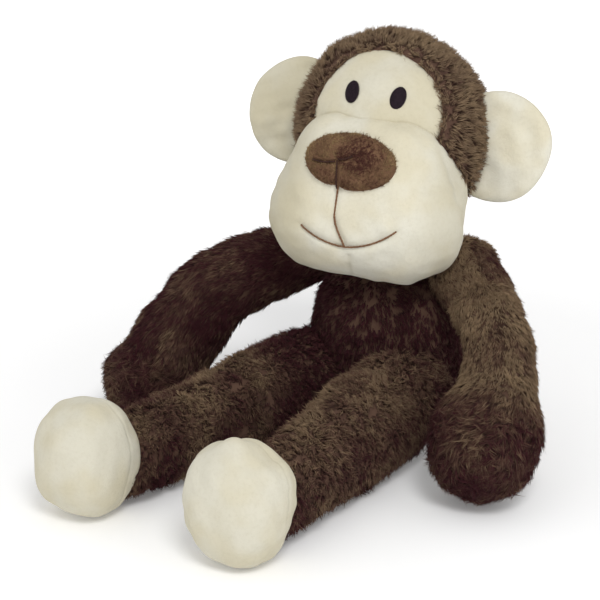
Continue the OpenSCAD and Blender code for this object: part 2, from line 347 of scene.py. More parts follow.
def grow_pile(roots, normals, combs, tones, lengths, seed, lay=0.6, spread=0.95, width=0.41, per_tuft=6,
              curl=0.2):
    """Tapered three-sided strands in tufts, one tuft to a root. lay is 0 for pile that stands up and 1 for
    pile combed flat. Gives points, triangles, quads, how far along its strand each point is, and its tone."""
    rng = np.random.default_rng(seed)
    tufts = len(roots)
    side = unit(np.cross(normals, combs))
    combs = unit(np.cross(side, normals))
    sway = rng.normal(size=(tufts, 3)) * curl
    start = unit(normals * (1.15 - lay) + combs * lay + sway * 0.6)
    finish = unit(normals * (0.75 - 0.7 * lay) + combs * (lay + 0.25) + sway)
    offsets = np.random.default_rng(tufts).normal(size=(tufts, per_tuft, 2)) * spread
    gather = combs[:, None] * offsets[..., :1] + side[:, None] * offsets[..., 1:]
    foot = roots[:, None] - normals[:, None] * 0.8 + gather
    reach = lengths[:, None] * rng.uniform(0.72, 1.12, (tufts, per_tuft))
    loose = rng.normal(size=(tufts, per_tuft, 3))
    middle = foot + start[:, None] * (0.8 + reach[..., None] * 0.5) + loose * 0.2 - gather * 0.1
    tip = middle + finish[:, None] * reach[..., None] * 0.5 + loose * 0.45 - gather * 0.42
    tone = np.clip(tones[:, None] + rng.normal(size=(tufts, 1)) * 0.09
                   + rng.normal(size=(tufts, per_tuft)) * 0.09, 0, 1)
    count = tufts * per_tuft
    foot, middle, tip = (part.reshape(count, 3) for part in (foot, middle, tip))
    axis = unit(tip - foot)
    across = unit(np.cross(axis, rng.normal(size=(count, 3))))
    third = np.cross(axis, across)
    thick = width * rng.uniform(0.75, 1.25, (count, 1))
    points = np.empty((count, STRAND_POINTS, 3))
    for corner in range(3):
        angle = corner * 2 * math.pi / 3
        around = across * math.cos(angle) + third * math.sin(angle)
        points[:, corner] = foot + around * thick * 0.55
        points[:, corner + 3] = middle + around * thick * 0.5
    points[:, 6] = tip
    points[..., 2] = np.maximum(points[..., 2], FLOOR)
    first = (np.arange(count) * STRAND_POINTS)[:, None]
    quads = np.concatenate([first + [[c, (c + 1) % 3, (c + 1) % 3 + 3, c + 3]] for c in range(3)])
    triangles = np.concatenate([first + [[c + 3, (c + 1) % 3 + 3, 6]] for c in range(3)]
                               + [first + [[2, 1, 0]]])
    along = np.tile([0, 0, 0, 0.55, 0.55, 0.55, 1.0], count)
    return points.reshape(-1, 3), triangles, quads, along, np.repeat(tone.reshape(-1), STRAND_POINTS)


def ruffle(places, seed):
    """A random direction at each place, for pile that doesn't lie quite as it was combed."""
    return np.random.default_rng(seed).normal(size=places.shape)


def swirl(places, normals, way, strength, size, seed):
    """How the lie of pile combed one way wanders to its sides, in swirls about size mm across."""
    return strength * waves(places, size, seed)[:, None] * np.cross(way, normals)


def scatter(points, faces, normals, density, seed, keep=None):
    """Random places on a mesh of quads, so many to a square mm, with their normals."""
    rng = np.random.default_rng(seed)
    a, b, c, d = (points[faces[:, k]] for k in range(4))
    area = 0.5 * np.linalg.norm(np.cross(c - a, d - b), axis=-1)
    total = area.sum()
    count = int(total * density)
    chosen = rng.choice(len(faces), count, p=area / total)
    u, v = rng.random((2, count, 1))
    weights = [(1 - u) * (1 - v), u * (1 - v), u * v, (1 - u) * v]
    places = sum(weight * points[faces[chosen, k]] for k, weight in enumerate(weights))
    directions = unit(sum(weight * normals[faces[chosen, k]] for k, weight in enumerate(weights)))
    if keep is not None:
        inside = keep(places)
        places = places[inside]
        directions = directions[inside]
    return places, directions


def strand_uv(along):
    """One small cell of the map to each strand, with its root at the bottom."""
    count = len(along) // STRAND_POINTS
    cells = max(1, math.ceil(math.sqrt(count)))
    number = np.arange(count)
    corner = np.stack([number % cells, number // cells], -1)
    within = np.tile([[0.2, 0], [0.5, 0], [0.8, 0], [0.25, 0], [0.5, 0], [0.75, 0], [0.5, 0]], (count, 1))
    within[:, 1] = 0.1 + 0.8 * along
    return (np.repeat(corner, STRAND_POINTS, 0) + within) / cells


def pile_mesh(name, skin, caps, faces, skin_along, skin_tone, pile):
    """One object of a skin and of the pile that grow_pile gave for it."""
    points, triangles, quads, along, tone = pile
    base = len(skin)
    attributes = {"along": np.concatenate([np.full(base, skin_along), along]),
                  "tone": np.concatenate([np.full(base, skin_tone), tone])}
    uv = np.concatenate([np.full((base, 2), 0.999), strand_uv(along) * 0.99])
    return make_mesh(name, np.concatenate([skin, points]),
                     [np.concatenate([caps, triangles + base]), np.concatenate([faces, quads + base])],
                     attributes, uv)


def furry(name, body, fill, nodes, rings, comb, length, tone, keep, density, seed, **pile):
    """A piece of skin with brown pile. rings is a grid with a pole at each end. comb, length and tone give
    the lie, the length and the tone of the pile at each root. keep says which places belong to the piece, and
    the skin runs on for a margin beyond them."""
    skin, normals, caps, faces = closed_skin(rings)
    skin[:, 2] = np.maximum(skin[:, 2], FLOOR)
    roots, directions = scatter(skin, faces, normals, density, seed, lambda places: keep(places, 0.0))
    faces = faces[keep(skin[faces].mean(1), SKIN_MARGIN)]
    caps = caps[keep(skin[caps].mean(1), SKIN_MARGIN)]
    tones = 0.45 + 0.16 * waves(roots, 20, seed + 1) + 0.08 * waves(roots, 5, seed + 2) + tone(roots)
    strands = grow_pile(roots, directions, comb(roots, directions), np.clip(tones, 0, 1), length(roots),
                        seed + 3, **pile)
    piece = pile_mesh(name, skin, caps, faces, 0.4, 0.45, strands)
    place(piece, body, "brown_plush", PLUSH, fill, *nodes)


# ---- limbs

LIMB_COLUMNS = 72    # points in each ring round a limb
BATCH = 4000         # distances are worked out for this many places at a time


def limb_path(corners, soften):
    """Points one mm apart on a line through the corners, whose bends are rounded over about soften mm."""
    line = []
    for start, end in zip(corners[:-1], corners[1:]):
        count = int(np.linalg.norm(end - start))
        line.append(start + (end - start) * np.linspace(0, 1, count, endpoint=False)[:, None])
    line = np.concatenate(line + [corners[-1:]])
    reach = 3 * soften
    before = line[0] + (line[0] - line[1]) * np.arange(reach, 0, -1)[:, None]
    after = line[-1] + (line[-1] - line[-2]) * np.arange(1, reach + 1)[:, None]
    longer = np.concatenate([before, line, after])
    kernel = np.exp(-0.5 * (np.arange(-reach, reach + 1) / soften) ** 2)
    kernel /= kernel.sum()
    return np.stack([np.convolve(longer[:, axis], kernel, "valid") for axis in range(3)], -1)


def path_frames(line):
    """The direction of a line at each point and two directions across it that don't spin."""
    tangents = unit(np.gradient(line, axis=0))
    across = np.empty_like(tangents)
    helper = np.array([0, 0, 1.0]) if abs(tangents[0][2]) < 0.9 else np.array([1.0, 0, 0])
    across[0] = unit(np.cross(tangents[0], helper))
    for i in range(1, len(line)):
        turned = across[i - 1] - tangents[i] * (across[i - 1] @ tangents[i])
        across[i] = unit(turned)
    return tangents, across, np.cross(tangents, across)


def tube_rings(line, radius, lumps, seed, start_round=12, end_round=12):
    """Rings round a line, with a dome of start_round or end_round rings at each end. radius is given along
    the line, and lumps is how uneven the stuffing makes the skin."""
    tangents, across, third = path_frames(line)
    rows = []
    for index, end, sign in ((0, start_round, -1), (-1, end_round, 1)):
        angles = np.linspace(0, math.pi / 2, end + 1)[1:]
        caps = []
        for angle in angles:
            centre = line[index] + sign * tangents[index] * radius[index] * math.sin(angle)
            caps.append((centre, index, radius[index] * math.cos(angle)))
        rows.append(caps[::-1] if sign < 0 else caps)
    every = max(1, len(line) // 60)
    inner = [(line[i], i, radius[i]) for i in range(0, len(line), every)]
    turn = full_turn(LIMB_COLUMNS)
    rings = []
    for centre, index, r in rows[0] + inner + rows[1]:
        around = across[index] * np.cos(turn)[:, None] + third[index] * np.sin(turn)[:, None]
        rings.append(centre + around * r)
    return rest_on_floor(lumpy(np.array(rings), lumps, 14, seed))


def rest_on_floor(rings):
    """Stuffed forms spread a little sideways where they are pressed flat on the floor."""
    pressed = np.maximum(FLOOR + 1.0 - rings[..., 2], 0)
    outward = rings - rings.mean(1, keepdims=True)
    outward[..., 2] = 0
    rings = rings + unit(outward) * pressed[..., None] * 0.25
    rings[..., 2] = np.maximum(rings[..., 2], FLOOR)
    return rings


def bow(line, amount):
    """Moves a line of points sideways by amount at its middle, and less towards its ends."""
    return line + np.sin(np.linspace(0, 1, len(line)) * math.pi)[:, None] ** 2 * np.array(amount)


def nearest_on(line):
    """A function that finds the point of a limb's line nearest each place, among every second point, and
    gives the line's direction there and the point's number."""
    tangents = path_frames(line)[0]

    def find(places):
        index = np.empty(len(places), int)
        for first in range(0, len(places), BATCH):
            gaps = places[first:first + BATCH, None] - line[None, ::2]
            index[first:first + BATCH] = np.linalg.norm(gaps, axis=-1).argmin(1) * 2
        return tangents[index], index
    return find


def profile(length, *stops):
    """Radii one mm apart along a limb from stops of (share of its length, radius)."""
    shares, radii = zip(*stops)
    return np.interp(np.linspace(0, 1, length), shares, radii)


def blurred(values, reach):
    """Values whose corners are rounded over reach neighbours on each side."""
    kernel = np.hanning(2 * reach + 3)[1:-1]
    padded = np.pad(values, reach, mode="edge")
    return np.convolve(padded, kernel / kernel.sum(), "valid")


def cover_limb(name, body, fill, nodes, line, rings, furs, density, seed, **pile):
    """The pile of a stretch of limb in two pieces, one for each long side, which keeps each mesh light. furs
    is the functions comb, length and tone."""
    find = nearest_on(line)
    sideways = unit(np.cross(line[-1] - line[0], [0, 0, 1.0]))

    def half(sign):
        def keep(places, margin):
            return sign * ((places - line[find(places)[1]]) @ sideways) < margin
        return keep

    furry(name + "_a", body, fill, nodes[:-1], rings, *furs, half(1), density, seed, **pile)
    furry(name + "_b", body, fill, nodes[-1:], rings, *furs, half(-1), density, seed + 5, **pile)


def farthest_point(node, start):
    """The point of a CAD node that lies farthest from start, in mm."""
    mesh = frame["nodes"][node].data
    flat = np.empty(len(mesh.vertices) * 3, np.float32)
    mesh.vertices.foreach_get("co", flat)
    points = flat.reshape(-1, 3) / MM
    return points[np.linalg.norm(points - start, axis=1).argmax()].astype(float)


PAW_R = 28
ARM_SEAM = 0.62     # the two arm pieces meet at this share of the upper arm
LEG_SEAM = 0.6      # and the two leg pieces at this share of the thigh
SEAM_LAP = 6        # the lower piece starts this far above the seam
ELBOW_REACH = 24    # points this far on either side of an elbow go to place with the two bodies, and are not used
KNEE_REACH = 26     # and of a knee

# For each arm: how far it bows, where its paw is from the middle of the CAD paw, the tone of the pile on the
# arm and on the paw, which paints light on the left arm and shade on the right arm and both paws, and the
# radii from shoulder to paw.
ARMS = {
    "left": ((-6.3, -0.8, 0.3), (-4.2, 3.2, 7.9), 0.27, -0.22,
             ((0, 20.5), (0.15, 20), (0.35, 18.3), (0.6, 19.3), (0.74, 21.3), (0.85, 28.3), (0.92, 30),
              (1, 30))),
    "right": ((-1.0, 0.5, 1.0), (0, 0.5, -2.0), -0.3, -0.16,
              ((0, 19.5), (0.15, 20.5), (0.35, 23), (0.6, 25.5), (0.85, 26.5), (1, 27))),
}
LEG_RADII = ((0, 29), (0.15, 30), (0.4, 28.5), (0.65, 25), (0.9, 22.5), (1, 21.5))


def make_arm(name, seed):
    shoulder = joint_place("shoulder_swing_" + name)
    elbow = joint_place("elbow_" + name)
    far = farthest_point("forearm_cover_" + name, elbow)
    bend, move, shade, paw_shade, radii = ARMS[name]
    paw = far - unit(far - elbow) * PAW_R + np.array(move)
    line = bow(limb_path(np.array([shoulder + [0, 0, 2], elbow, paw]), 18), bend)
    radius = blurred(profile(len(line), *radii), 8)
    find = nearest_on(line)
    upper_l = np.linalg.norm(elbow - shoulder)
    cut = int(len(line) * ARM_SEAM * upper_l / (upper_l + np.linalg.norm(paw - elbow)))

    def comb(places, normals):
        along, index = find(places)
        share = smooth_step(0.84, 1.0, index / len(line))[:, None]
        lie = along * (1 - 0.8 * share) + unit(places - paw) * share + 0.16 * ruffle(places, seed + 7)
        return lie + swirl(places, normals, along, 0.25, 14, seed + 8)

    def length(places):
        wrist = smooth_step(0.75, 1.0, find(places)[1] / len(line))
        return 7.8 + 2.4 * wrist + waves(places, 9, seed + 9)

    # Painted light and shade: the arm's pile is paler or darker by shade, the paw's by paw_shade.
    def tone(places):
        share = smooth_step(0.7, 0.9, find(places)[1] / len(line))
        return shade * (1 - share) + paw_shade * share

    upper = tube_rings(line[:cut], radius[:cut], 0.5, seed, end_round=6)
    cut -= SEAM_LAP
    lower = tube_rings(line[cut:], radius[cut:], 0.6, seed + 1, start_round=6)
    nodes = ["shoulder_ball_" + name, "upper_arm_cover_" + name, "upper_arm_stuffing_" + name]
    cover_limb("upper_arm_plush_" + name, "upper_arm_" + name, 0.7, nodes, line, upper, (comb, length, tone),
               0.34, seed, lay=0.84, curl=0.1, width=0.46)
    upper_way = unit(elbow - shoulder)
    lower_way = unit(paw - elbow)
    bodies = ("upper_arm_" + name, "forearm_" + name,
              (elbow - upper_way * ELBOW_REACH) * MM, (elbow + lower_way * ELBOW_REACH) * MM)
    nodes = ["forearm_cover_" + name, "forearm_stuffing_" + name]
    cover_limb("forearm_plush_" + name, bodies, 0.75, nodes, line, lower, (comb, length, tone), 0.23,
               seed + 20, lay=0.78, curl=0.12, width=0.46)


def make_leg(name, side, seed):
    hip = joint_place("hip_swing_" + name)
    knee = joint_place("knee_" + name)
    ankle = joint_place("ankle_" + name)
    end = ankle + unit(ankle - knee) * 6
    line = limb_path(np.array([hip + [0, 0, 6], knee + [0, 0, 0.5], end - [0, 0, 1.5]]), 14)
    radius = profile(len(line), *LEG_RADII)
    find = nearest_on(line)
    cut = int(len(line) * LEG_SEAM * np.linalg.norm(knee - hip) / np.linalg.norm(end - hip))

    def comb(places, normals):
        along = find(places)[0]
        return (0.4 * along + np.array([0, 0, -0.5]) + swirl(places, normals, along, 0.6, 10, seed + 8)
                + 0.35 * ruffle(places, seed + 7))

    def length(places):
        return 5.6 + 0.8 * waves(places, 8, seed + 9)

    def tone(places):
        """Painted light on top, and painted shade in the hollow near the belly, which reaches farther down
        the right leg.
        """
        if side < 0:
            hollow = 0.6 * smooth_step(-115, -60, places[:, 1])
        else:
            hollow = 0.3 * smooth_step(-70, -35, places[:, 1])
        return -0.17 + 0.28 * smooth_step(30, 52, places[:, 2]) - hollow

    upper = tube_rings(line[:cut], radius[:cut], 0.8, seed, end_round=6)
    cut -= SEAM_LAP
    lower = tube_rings(line[cut:], radius[cut:], 0.9, seed + 1, start_round=6, end_round=4)
    nodes = ["hip_ball_" + name, "thigh_cover_" + name, "thigh_stuffing_" + name]
    cover_limb("thigh_plush_" + name, "thigh_" + name, 0.7, nodes, line, upper, (comb, length, tone), 0.24,
               seed, lay=0.5, curl=0.28)
    way = unit(knee - hip)
    bodies = ("thigh_" + name, "shin_" + name, (knee - way * KNEE_REACH) * MM, (knee + way * KNEE_REACH) * MM)
    nodes = ["shin_cover_" + name, "shin_stuffing_" + name]
    cover_limb("shin_plush_" + name, bodies, 0.7, nodes, line, lower, (comb, length, tone), 0.2, seed + 20,
               lay=0.5, curl=0.28)


# ---- torso and neck

TORSO_SHAPE = ((0.0, 0.0), (0.0, 0.55), (0.02, 0.8), (0.09, 0.96), (0.2, 1.06), (0.4, 1.12), (0.58, 1.12),
               (0.72, 1.08), (0.84, 0.97), (0.93, 0.78), (0.985, 0.56), (1.0, 0.3), (1.0, 0.0))
SLIT = (42, 90)      # the hand-sewn slit in the back runs between these heights


def torso_profile():
    """Heights and radii of the torso's skin from its seat to its top."""
    high = np.array(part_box("torso_back_panel")[1]) / MM
    share = np.linspace(0, len(TORSO_SHAPE) - 1, 70)
    heights, radii = (blurred(np.interp(share, np.arange(len(TORSO_SHAPE)), values), 3)
                      for values in zip(*TORSO_SHAPE))
    return heights * high[2], radii * (high[0] - 1)


def make_torso():
    """The sitting body in a front and a back piece, with a parting in the pile at the slit in the back."""
    z, r = torso_profile()
    r[0] = r[-1] = 0.01
    turn = full_turn(96)
    rings = np.stack([r[:, None] * np.cos(turn), r[:, None] * np.sin(turn), z[:, None] + 0 * turn], -1)
    rings = lumpy(rings, 0.9, 18, 41)
    rings[..., 2] = np.maximum(rings[..., 2], FLOOR)

    def comb(places, normals):
        return (np.array([0, 0, -1.0]) + swirl(places, normals, [0, 0, 1.0], 0.4, 14, 48)
                + 0.25 * ruffle(places, 47))

    def length(places):
        return 6.0 + 0.8 * waves(places, 9, 49)

    def half(sign):
        def keep(places, margin):
            under = places[:, 2] < 1.5
            slit = ((np.abs(places[:, 0]) < 1.8) & (places[:, 1] > 0)
                    & (places[:, 2] > SLIT[0]) & (places[:, 2] < SLIT[1]))
            return (sign * places[:, 1] < margin) & ((margin > 0) | ~(under | slit))
        return keep

    # Painted shade: the front of the torso, under the head and arms, is darker.
    def tone(places):
        return -0.75 * smooth_step(25, -15, places[:, 1])

    for name, sign, *nodes in (("front", 1, "torso_front_panel"),
                               ("back", -1, "torso_back_panel", "torso_stuffing")):
        furry("torso_plush_" + name, "torso", 0.8, nodes, rings, comb, length, tone, half(sign), 0.165,
              40 + sign, lay=0.7, curl=0.18)


def make_neck():
    """The plush over the ball between torso and head."""
    centre = joint_place("neck_turn")
    directions = ball_directions(50, 90, (0, 0, 1))
    rings = centre + directions * [31, 31, 25]

    def comb(places, normals):
        return np.array([0, 0, -1.0]) + 0.3 * ruffle(places, 57)

    def length(places):
        return 6.5 + 0.8 * waves(places, 9, 58)

    def tone(places):
        return np.full(len(places), -0.05)

    def keep(places, margin):
        return np.abs(places[:, 2] - centre[2]) < 20 + 5 * margin

    furry("neck_plush", "neck", 0.8, ["neck_ball"], rings, comb, length, tone, keep, 0.3, 55,
          lay=0.5, curl=0.2)


# ---- head

FACE_TILT = math.radians(26.5)
FACE_NORMAL = np.array([0, -math.cos(FACE_TILT), math.sin(FACE_TILT)])
FACE_CUT = 38       # the face seam's plane lies this far from the head's centre
CHEEK = np.array([25.5, -50, -45])
CHEEK_R = 36.5
BRIDGE = np.array([18.0, -49, -8])
BRIDGE_R = 28.5
JOWL = np.array([26.0, -27, -31])
JOWL_R = 30.5
MUZZLE_MIDDLE = np.array([0.0, -44, -34])
SMILE_R = 50
SMILE_LOW = -50     # height of the smile's lowest point
POLE_GAP = 0.002    # the first ring round a pole is this many radians from it


def round_cone(places, low, high, low_r, high_r):
    """Signed distance to the hull of two balls."""
    line = high - low
    span = line @ line
    shrink = low_r - high_r
    height = span - shrink * shrink
    offset = places - low
    y = offset @ line
    z = y - span
    x2 = ((offset * span - y[:, None] * line) ** 2).sum(1)
    y2 = y * y * span
    z2 = z * z * span
    k = np.sign(shrink) * shrink * shrink * x2
    side = (np.sqrt(x2 * height / span) + y * shrink) / span - low_r
    beyond = np.sqrt(x2 + z2) / span - high_r
    before = np.sqrt(x2 + y2) / span - low_r
    far = np.sign(z) * height * z2 > k
    near = np.sign(y) * height * y2 < k
    return np.where(far, beyond, np.where(near, before, side))


def muzzle_distance(places):
    """Signed distance from the muzzle's skin, in the head's frame."""
    best = np.full(len(places), np.inf)
    for share in np.linspace(-1, 1, 15):
        spread = np.array([share, 1, 1])
        cheek, bridge, jowl = CHEEK * spread, BRIDGE * spread, JOWL * spread
        forward = (1 - share * share) * np.array([0, -2.0, 0])
        for distance in (round_cone(places, cheek + forward, bridge, CHEEK_R, BRIDGE_R),
                         round_cone(places, cheek, jowl, CHEEK_R, JOWL_R),
                         round_cone(places, jowl, bridge, JOWL_R, BRIDGE_R)):
            best = np.minimum(best, distance)
    return best


def cast(origin, directions, distance, start):
    """How far out from origin along each direction the surface of a signed distance lies, from inside."""
    t = np.full(len(directions), float(start))
    for _ in range(40):
        t -= distance(origin + directions * t[:, None]) * 0.8
    return t


def rings_round(pole, across, angles, columns):
    """Unit vectors on rings round a pole direction, one ring at each angle from it."""
    third = np.cross(pole, across)
    angle = angles[:, None, None]
    turn = full_turn(columns)[None, :, None]
    return np.cos(angle) * pole + np.sin(angle) * (np.cos(turn) * across + np.sin(turn) * third)


def ball_directions(rows, columns, pole):
    """Unit vectors on rings from a pole direction to its opposite."""
    pole = unit(np.array(pole, float))
    across = unit(np.cross(pole, [1.0, 0, 0]))
    return rings_round(pole, across, np.linspace(POLE_GAP, math.pi - POLE_GAP, rows), columns)


def line_distance(places, line):
    """Distance of each place from the nearest of a line's points."""
    result = np.empty(len(places))
    for first in range(0, len(places), BATCH):
        gaps = places[first:first + BATCH, None] - line[None]
        result[first:first + BATCH] = np.linalg.norm(gaps, axis=-1).min(1)
    return result


def on_muzzle(x, z, lift=0.0):
    """Points of the muzzle's front at the given x and z, in the head's frame."""
    y = np.full(len(x), -110.0)
    for _ in range(60):
        y += muzzle_distance(np.stack([x, y, z], -1)) * 0.9 - lift * 0.9
    return np.stack([x, y, z], -1)


def smile_line(lift=0.0):
    """An arc that ends a little higher on the toy's left."""
    angle = np.linspace(-37, 37, 90) * math.pi / 180
    rise = np.where(angle > 0, 6.5, 2.0) * np.sin(angle)
    return on_muzzle(SMILE_R * np.sin(angle), SMILE_LOW + SMILE_R * (1 - np.cos(angle)) + rise, lift)


def philtrum_line(lift=0.0):
    """From under the nose to the smile."""
    z = np.linspace(-14, SMILE_LOW + 0.5, 50)
    return on_muzzle(-8.9 * smooth_step(SMILE_LOW - 5, -30, z), z, lift)


def chin_line():
    """The pleat under the smile."""
    z = np.linspace(SMILE_LOW - 6, SMILE_LOW - 24, 30)
    return on_muzzle(2.0 + 0.05 * (z - SMILE_LOW), z)


def make_muzzle():
    """The cream cover of the muzzle, pulled in along its stitches and pleat, with painted shade, darker and
    yellower, in its creases, at its sides and along its top.
    """
    directions = ball_directions(150, 220, (0, -0.5, 0.85))
    rings = MUZZLE_MIDDLE + directions * cast(MUZZLE_MIDDLE, directions.reshape(-1, 3), muzzle_distance,
                                              60).reshape(directions.shape[:2] + (1,))
    flat, normals, caps, quads = closed_skin(rings)
    pulled = 1.3 * np.exp(-(line_distance(flat, smile_line()) / 2.6) ** 2)
    pulled = np.maximum(pulled, 1.2 * np.exp(-(line_distance(flat, philtrum_line()) / 2.4) ** 2))
    pleat = 0.8 * np.exp(-(line_distance(flat, chin_line()) / 1.6) ** 2)
    soft = 0.55 * waves(flat, 13, 61) + 0.22 * waves(flat, 5, 62)
    flat = flat + normals * (soft - pulled - pleat)[:, None]
    # Painted shade: in the creases, at the sides (more on the toy's right) and along the top.
    creases = np.maximum(0.25 * pulled, 0.6 * pleat)
    sides = np.maximum(0.75 * smooth_step(-14, -42, flat[:, 0]), 0.6 * smooth_step(26, 56, flat[:, 0]))
    top = 0.3 * smooth_step(-12, 4, flat[:, 2])
    shade = np.maximum(creases, np.maximum(sides, top))
    piece = make_mesh("muzzle_velour", from_head(flat), [caps, quads], {"shade": shade})
    place(piece, "head", "cream_velour", VELOUR, 0.8, "muzzle_cover")


def make_face():
    """The cream patch: the part of the head's ball in front of the face seam, rounded in at the seam."""
    limit = math.acos(FACE_CUT / HEAD_R) + 0.05
    angles = np.linspace(POLE_GAP, limit, 90)
    edge = smooth_step(limit - 0.13, limit, angles)[:, None, None]
    rings = rings_round(FACE_NORMAL, np.array([1.0, 0, 0]), angles, 200) * (HEAD_R + 0.6 - 1.6 * edge)
    points, normals, caps, quads = closed_skin(np.concatenate([rings, rings[::-1] * 0.93]))
    outer = np.linalg.norm(points, axis=1) > HEAD_R - 2
    points = points + normals * (outer * (0.4 * waves(points, 12, 71) + 0.15 * waves(points, 4, 72)))[:, None]
    # Painted shade: along the crease by the muzzle, and at half strength over the whole patch.
    crease = np.exp(-(muzzle_distance(points) / 1.5) ** 2)
    shade = np.maximum(0.7 * crease, 0.5)
    piece = make_mesh("face_velour", from_head(points), [caps, quads], {"shade": shade})
    place(piece, "head", "cream_velour", VELOUR, 0.8, "face_panel")


def make_head_plush():
    """The back of the head: a ball that bulges up on its right and down on its left, and whose bare skin dips
    under the face patch at the face seam."""
    directions = ball_directions(110, 150, (0, 0.6, 0.8))

    def bulge(move, way, low, high):
        return np.array(move) * smooth_step(low, high, directions @ unit(np.array(way)))[..., None]

    swell = bulge((-2.6, -0.8, 1.2), (-0.8, 0.1, 0.55), -0.2, 0.9)
    swell = swell + bulge((3.2, 1.2, -3.0), (0.72, 0.1, -0.66), 0.6, 0.98)
    ahead = HEAD_R * (directions @ FACE_NORMAL)
    behind_seam = smooth_step(0, 22, FACE_CUT - ahead)[..., None]
    dip = 3.5 * smooth_step(FACE_CUT - 0.5, FACE_CUT + 3, ahead)[..., None]
    rings = directions * (HEAD_R + 0.8 - dip) + swell * behind_seam
    flat = rings.reshape(-1, 3)
    rings = (flat + directions.reshape(-1, 3) * (0.8 * waves(flat, 20, 81))[:, None]).reshape(rings.shape)
    world = from_head(rings.reshape(-1, 3)).reshape(rings.shape)
    back = HEAD_TURN @ unit(np.array([0, 0.9, -0.35]))
    forward = HEAD_TURN @ FACE_NORMAL

    def half(sign):
        def keep(places, margin):
            local = to_head(places)
            plush = local @ FACE_NORMAL < FACE_CUT + margin + 1.2
            return plush & (muzzle_distance(local) > -margin - 1) & (sign * local[:, 0] > -margin)
        return keep

    def comb(places, normals):
        """Backwards, but forwards over the face seam."""
        local = to_head(places)
        near = np.minimum(FACE_CUT - local @ FACE_NORMAL, 2 * muzzle_distance(local))
        border = smooth_step(-1, 5, near)[:, None]
        return (back * (1.6 * border - 0.3) + forward * (1 - border)
                + swirl(places, normals, back, 0.35, 16, 88) + (0.5 - 0.25 * border) * ruffle(places, 87))

    def length(places):
        border = smooth_step(0, 9, FACE_CUT - to_head(places) @ FACE_NORMAL)
        return 5.2 + 2.6 * border + 0.7 * waves(places, 9, 89)

    # Painted light: the pile is paler towards the top of the head.
    def tone(places):
        return 0.26 + 0.06 * smooth_step(20, 55, to_head(places)[:, 2])

    for name, sign, *nodes in (("left", 1, "head_panel_left", "head_stuffing"),
                               ("right", -1, "head_panel_right")):
        furry("head_plush_" + name, "head", 0.85, nodes, world, comb, length, tone, half(sign), 0.19,
              80 + sign, lay=0.55, curl=0.16)


# ---- nose

NOSE_WIDE = 29
NOSE_HIGH = 17
NOSE_DOME = 3.6
NOSE_TILT = math.radians(16)
NOSE_AT = np.array([-3.8, -60.0, -4.5])
NOSE_ACROSS = np.array([1.0, 0, 0])
NOSE_UP = np.array([0, math.sin(NOSE_TILT), math.cos(NOSE_TILT)])
NOSE_OUT = np.array([0, -math.cos(NOSE_TILT), math.sin(NOSE_TILT)])


def nose_place(x, y, lift):
    """Points at x across and y up the nose patch, raised from the muzzle's skin."""
    start = NOSE_AT + NOSE_OUT * 60 + x[:, None] * NOSE_ACROSS + y[:, None] * NOSE_UP
    t = np.zeros(len(x))
    for _ in range(60):
        t += (muzzle_distance(start - NOSE_OUT * t[:, None]) - lift) * 0.8
    return start - NOSE_OUT * t[:, None]


def nose_dome(share):
    """How high the padded nose stands at a share of the way to its edge."""
    return NOSE_DOME * np.sqrt(np.clip(1 - share ** 4, 0, 1))


def nose_edge(angle):
    """The patch's outline: a wide oval with a notch in the middle of its lower edge."""
    notch = 1 - 0.1 * np.exp(-((angle + math.pi / 2 + 0.22) / 0.16) ** 2)
    return NOSE_WIDE * np.cos(angle) * notch, NOSE_HIGH * np.sin(angle) * notch


def make_nose():
    """A padded patch of short pile that lies up and to the toy's left, and is ruffled round the stitches."""
    front, under, columns = 28, 12, 120      # rings with pile, rings at the edge and below, points in each
    edge_x, edge_y = nose_edge(np.linspace(-math.pi, math.pi, columns, endpoint=False))
    share = np.concatenate([np.linspace(POLE_GAP, 1, front), np.full(under // 2, 1.0),
                            np.linspace(0.95, POLE_GAP, under // 2)])[:, None]
    x = (share * edge_x).reshape(-1)
    y = (share * edge_y).reshape(-1)
    dome = nose_dome(share) + 0.5
    dome[front:] = np.linspace(0.4, -2.5, under)[:, None]
    lift = np.repeat(dome[:, 0], columns)
    groove = np.minimum(nostril_distance(x, y), 9)
    lift = lift - 1.1 * np.exp(-(groove / 1.2) ** 2) * (lift > 0.6)
    points = from_head(nose_place(x, y, lift))
    flat, normals, caps, faces = closed_skin(points.reshape(front + under, columns, 3))
    top = faces[normals[faces].mean(1) @ (HEAD_TURN @ NOSE_OUT) > 0.2]
    roots, directions = scatter(flat, top, normals, 1.1, 91)
    local = to_head(roots)
    ruffled = smooth_step(14, 5, np.hypot((local[:, 0] - 3) / 1.3, nose_height(local) - 5))
    left_way = HEAD_TURN @ np.array([0.5, 0.1, 0.85])
    combs = left_way * (1 - 2 * ruffled[:, None]) + 0.3 * ruffle(roots, 92)
    # Painted shade: the lower part of the nose is darker.
    low = 0.3 * smooth_step(-2, -12, nose_height(local))
    tones = np.clip(0.66 + 0.14 * waves(roots, 6, 93) - 0.85 * ruffled - low, 0, 1)
    lengths = 2.3 + 0.7 * ruffled
    clear = nostril_distance(local[:, 0] - NOSE_AT[0], nose_height(local)) > 1.3
    strands = grow_pile(roots[clear], directions[clear], combs[clear], tones[clear], lengths[clear], 94,
                        lay=0.85, spread=0.5, width=0.32, per_tuft=5, curl=0.1)
    piece = pile_mesh("nose_plush", flat, caps, faces, 0.55, 0.35, strands)
    place(piece, "head", "nose_plush", NOSE_PILE, 0.7, "nose_patch")


def nose_height(local):
    """How far up the nose patch places in the head's frame are, from its middle."""
    return (local - NOSE_AT) @ NOSE_UP


